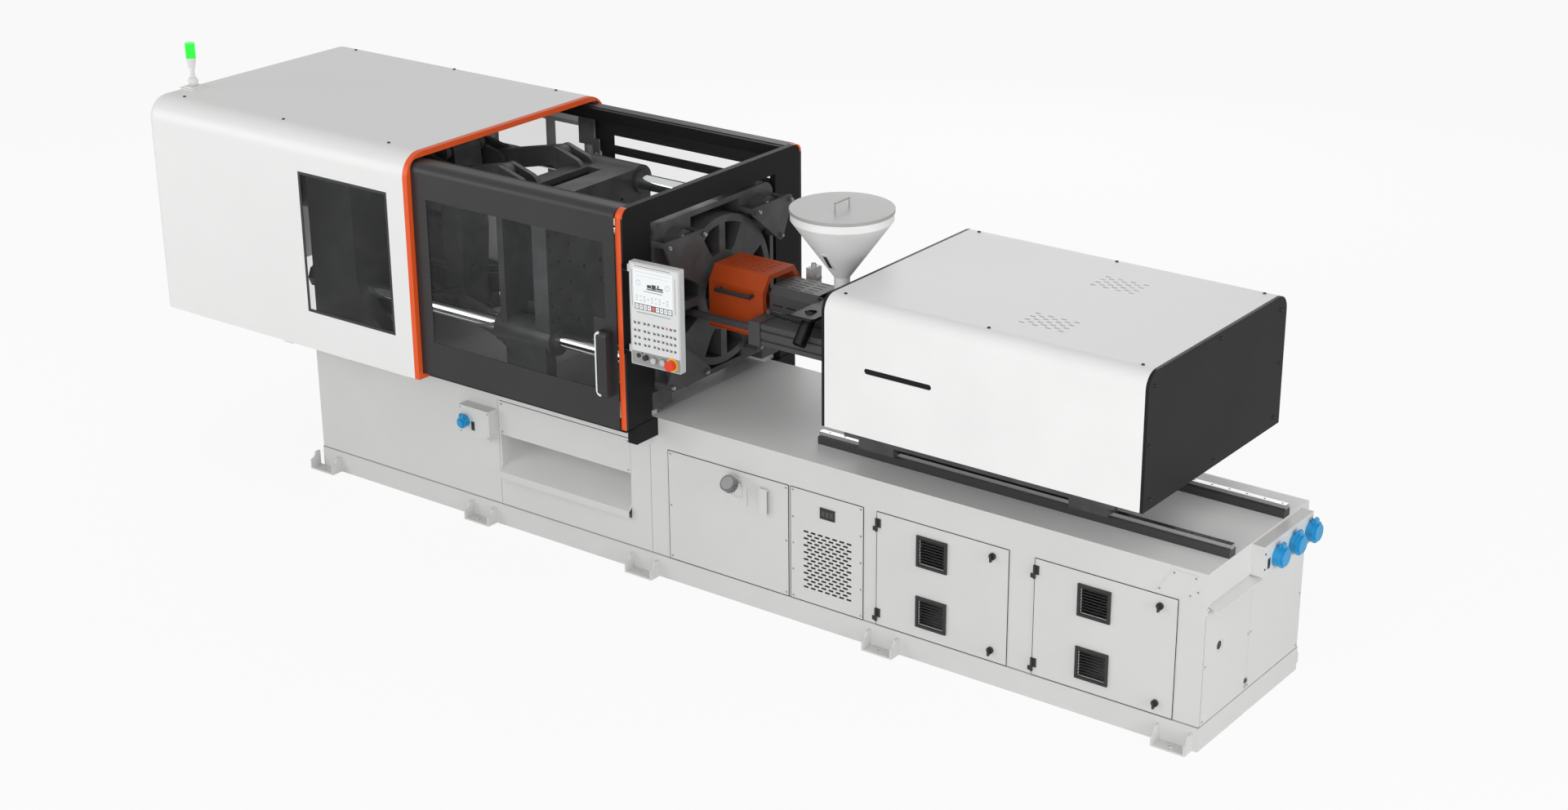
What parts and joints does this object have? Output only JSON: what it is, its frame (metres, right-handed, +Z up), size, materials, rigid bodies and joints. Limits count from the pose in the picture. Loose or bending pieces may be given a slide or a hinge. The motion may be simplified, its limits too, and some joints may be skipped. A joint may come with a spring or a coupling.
{
  "type": "injection moulding machine",
  "caption": "Horizontal plastic injection moulding machine with toggle clamp, sliding guards, hopper and operator panel.",
  "frame": {"origin": "on the floor, in the middle of the base", "axes": "+X towards the injection end, -Y towards the operator, +Z up"},
  "size_m": [5.8215, 1.3881, 2.055],
  "materials": {
    "base_paint": "warm light grey textured paint",
    "cover_paint": "near white satin paint",
    "orange_paint": "orange satin paint",
    "black_paint": "black satin paint",
    "casting": "dark grey painted casting",
    "ground_steel": "ground steel",
    "chrome": "hard chrome",
    "stainless": "brushed stainless",
    "window": "clear sheet",
    "dark_plastic": "dark grained plastic",
    "blue_plastic": "blue moulded plastic",
    "panel_silver": "silver grey paint",
    "panel_film": "printed overlay",
    "button_grey": "grey button",
    "stop_red": "red mushroom head",
    "lamp_white": "white moulded plastic",
    "lamp_green": "green lens"
  },
  "bodies": {
    "machine": {"base_frame": "base_paint", "clamp_bed": "base_paint", "table": "base_paint", "chute_tray": "ground_steel", "bolted_panels": "base_paint", "vent_panel": "base_paint", "power_sockets": "blue_plastic", "clamp_cover": "cover_paint", "clamp_window": "window", "orange_trim": "orange_paint", "end_frame": "black_paint", "clamp_cylinder": "ground_steel", "tail_stock": "casting", "tie_bars": "chrome", "nut_plates": "casting", "fixed_platen": "casting", "injection_rails": "ground_steel", "light_stem": "lamp_white", "light_lens": "lamp_green"},
    "cabinet_door_left": {"cabinet_door_left": "base_paint", "grilles_left": "dark_plastic"},
    "cabinet_door_right": {"cabinet_door_right": "base_paint", "grilles_right": "dark_plastic"},
    "front_door": {"front_door": "black_paint", "front_door_pane": "window", "front_handle": "dark_plastic"},
    "injection_unit": {"carriage": "casting", "injection_hood": "cover_paint", "barrel": "ground_steel", "barrel_cover": "black_paint", "carriage_cylinders": "ground_steel", "hopper": "stainless", "hopper_lid": "stainless"},
    "control_panel": {"panel_housing": "panel_silver", "panel_face": "panel_film"},
    "filler_cap": {"filler_cap": "chrome"},
    "latch_left_top": {"latch_left_top": "dark_plastic"},
    "latch_left_low": {"latch_left_low": "dark_plastic"},
    "latch_right_top": {"latch_right_top": "dark_plastic"},
    "latch_right_low": {"latch_right_low": "dark_plastic"},
    "end_socket_lid_1": {"end_socket_lid_1": "blue_plastic"},
    "end_socket_lid_2": {"end_socket_lid_2": "blue_plastic"},
    "end_socket_lid_3": {"end_socket_lid_3": "blue_plastic"},
    "clamp_socket_lid": {"clamp_socket_lid": "blue_plastic"},
    "rear_door": {"rear_door": "black_paint"},
    "upper_rear_link": {"upper_rear_link": "casting"},
    "lower_rear_link": {"lower_rear_link": "casting"},
    "upper_front_link": {"upper_front_link": "casting"},
    "lower_front_link": {"lower_front_link": "casting"},
    "upper_cross_link": {"upper_cross_link": "casting"},
    "lower_cross_link": {"lower_cross_link": "casting"},
    "crosshead": {"crosshead": "casting"},
    "moving_platen": {"moving_platen": "casting"},
    "ejector": {"ejector": "ground_steel"},
    "screw": {"screw": "ground_steel"},
    "purge_guard": {"purge_guard": "orange_paint"},
    "e_stop": {"e_stop": "stop_red"},
    "panel_button_left": {"panel_button_left": "button_grey"},
    "panel_button_right": {"panel_button_right": "button_grey"},
    "panel_selector": {"panel_selector": "dark_plastic"}
  },
  "joints": [
    {"name": "toggle_fold", "type": "hinge", "parent": "machine", "child": "upper_rear_link", "pos_m": [-2.113, 0, 1.662], "axis": [0, 1, 0], "range_deg": [-11, 49]},
    {"name": "upper_knee", "type": "hinge", "parent": "upper_rear_link", "child": "upper_front_link", "pos_m": [-1.733, 0, 1.57427], "axis": [0, 1, 0], "range_deg": [-98, 22]},
    {"name": "upper_platen_pin", "type": "hinge", "parent": "upper_front_link", "child": "moving_platen", "pos_m": [-1.35299, 0, 1.662], "axis": [0, 1, 0], "range_deg": [-11, 49]},
    {"name": "upper_lobe_pin", "type": "hinge", "parent": "upper_rear_link", "child": "upper_cross_link", "pos_m": [-1.96728, 0, 1.57444], "axis": [0, 1, 0], "range_deg": [-98, 22]},
    {"name": "crosshead_pin", "type": "hinge", "parent": "upper_cross_link", "child": "crosshead", "pos_m": [-1.82156, 0, 1.662], "axis": [0, 1, 0], "range_deg": [-11, 49]},
    {"name": "lower_fold", "type": "hinge", "parent": "machine", "child": "lower_rear_link", "pos_m": [-2.113, 0, 0.872], "axis": [0, 1, 0], "range_deg": [-49, 11]},
    {"name": "lower_knee", "type": "hinge", "parent": "lower_rear_link", "child": "lower_front_link", "pos_m": [-1.733, 0, 0.95973], "axis": [0, 1, 0], "range_deg": [-22, 98]},
    {"name": "lower_crosshead_pin", "type": "hinge", "parent": "crosshead", "child": "lower_cross_link", "pos_m": [-1.82156, 0, 0.872], "axis": [0, 1, 0], "range_deg": [-11, 49]},
    {"name": "ejector_slide", "type": "slide", "parent": "moving_platen", "child": "ejector", "axis": [1, 0, 0], "range_m": [0, 0.1]},
    {"name": "front_door_slide", "type": "slide", "parent": "machine", "child": "front_door", "axis": [-1, 0, 0], "range_m": [0, 0.95]},
    {"name": "rear_door_slide", "type": "slide", "parent": "machine", "child": "rear_door", "axis": [-1, 0, 0], "range_m": [0, 0.95]},
    {"name": "carriage_slide", "type": "slide", "parent": "machine", "child": "injection_unit", "axis": [1, 0, 0], "range_m": [0, 0.35]},
    {"name": "screw_turn", "type": "hinge", "parent": "injection_unit", "child": "screw", "pos_m": [0.4, 0, 1.267], "axis": [1, 0, 0], "continuous": true},
    {"name": "purge_guard_hinge", "type": "hinge", "parent": "machine", "child": "purge_guard", "pos_m": [-0.18, 0.147, 1.349], "axis": [-1, 0, 0], "range_deg": [0, 60]},
    {"name": "cabinet_door_left_hinge", "type": "hinge", "parent": "machine", "child": "cabinet_door_left", "pos_m": [0.91, -0.443, 0.375], "axis": [0, 0, -1], "range_deg": [0, 110]},
    {"name": "cabinet_door_right_hinge", "type": "hinge", "parent": "machine", "child": "cabinet_door_right", "pos_m": [1.69, -0.443, 0.375], "axis": [0, 0, -1], "range_deg": [0, 110]},
    {"name": "latch_left_top_turn", "type": "hinge", "parent": "cabinet_door_left", "child": "latch_left_top", "pos_m": [1.488, -0.437, 0.592], "axis": [0, 1, 0], "range_deg": [0, 90]},
    {"name": "latch_left_low_turn", "type": "hinge", "parent": "cabinet_door_left", "child": "latch_left_low", "pos_m": [1.488, -0.437, 0.162], "axis": [0, 1, 0], "range_deg": [0, 90]},
    {"name": "latch_right_top_turn", "type": "hinge", "parent": "cabinet_door_right", "child": "latch_right_top", "pos_m": [2.266, -0.437, 0.592], "axis": [0, 1, 0], "range_deg": [0, 90]},
    {"name": "latch_right_low_turn", "type": "hinge", "parent": "cabinet_door_right", "child": "latch_right_low", "pos_m": [2.266, -0.437, 0.162], "axis": [0, 1, 0], "range_deg": [0, 90]},
    {"name": "filler_cap_turn", "type": "hinge", "parent": "machine", "child": "filler_cap", "pos_m": [0.172, -0.4905, 0.58785], "axis": [0, -0.766, 0.6428], "range_deg": [0, 90]},
    {"name": "end_socket_lid_1_hinge", "type": "hinge", "parent": "machine", "child": "end_socket_lid_1", "pos_m": [2.545, 0.04, 0.753], "axis": [0, -1, 0], "range_deg": [0, 100], "stiffness_Nm_per_rad": 0.1},
    {"name": "end_socket_lid_2_hinge", "type": "hinge", "parent": "machine", "child": "end_socket_lid_2", "pos_m": [2.545, 0.188, 0.753], "axis": [0, -1, 0], "range_deg": [0, 100], "stiffness_Nm_per_rad": 0.1},
    {"name": "end_socket_lid_3_hinge", "type": "hinge", "parent": "machine", "child": "end_socket_lid_3", "pos_m": [2.545, 0.334, 0.753], "axis": [0, -1, 0], "range_deg": [0, 100], "stiffness_Nm_per_rad": 0.1},
    {"name": "clamp_socket_lid_hinge", "type": "hinge", "parent": "machine", "child": "clamp_socket_lid", "pos_m": [-1.404, -0.517, 0.55], "axis": [-1, 0, 0], "range_deg": [0, 100], "stiffness_Nm_per_rad": 0.1},
    {"name": "panel_swivel", "type": "hinge", "parent": "machine", "child": "control_panel", "pos_m": [-0.222, -0.633, 1.37], "axis": [0, 0, -1], "range_deg": [-10, 90]},
    {"name": "e_stop_push", "type": "slide", "parent": "control_panel", "child": "e_stop", "axis": [-0.0576, 0.9983, 0], "range_m": [0, 0.004], "stiffness_N_per_m": 1500},
    {"name": "panel_button_left_push", "type": "slide", "parent": "control_panel", "child": "panel_button_left", "axis": [-0.0576, 0.9983, 0], "range_m": [0, 0.004], "stiffness_N_per_m": 500},
    {"name": "panel_button_right_push", "type": "slide", "parent": "control_panel", "child": "panel_button_right", "axis": [-0.0576, 0.9983, 0], "range_m": [0, 0.004], "stiffness_N_per_m": 500},
    {"name": "panel_selector_turn", "type": "hinge", "parent": "control_panel", "child": "panel_selector", "pos_m": [-0.12313, -0.68545, 1.178], "axis": [-0.0576, 0.9983, 0], "range_deg": [-45, 45]}
  ],
  "couplings": [
    {"joint": "upper_knee", "follows": "toggle_fold", "ratio": -2},
    {"joint": "upper_platen_pin", "follows": "toggle_fold", "ratio": 1},
    {"joint": "upper_lobe_pin", "follows": "toggle_fold", "ratio": -2},
    {"joint": "crosshead_pin", "follows": "toggle_fold", "ratio": 1},
    {"joint": "lower_fold", "follows": "toggle_fold", "ratio": -1},
    {"joint": "lower_knee", "follows": "toggle_fold", "ratio": 2},
    {"joint": "lower_crosshead_pin", "follows": "toggle_fold", "ratio": 1}
  ]
}
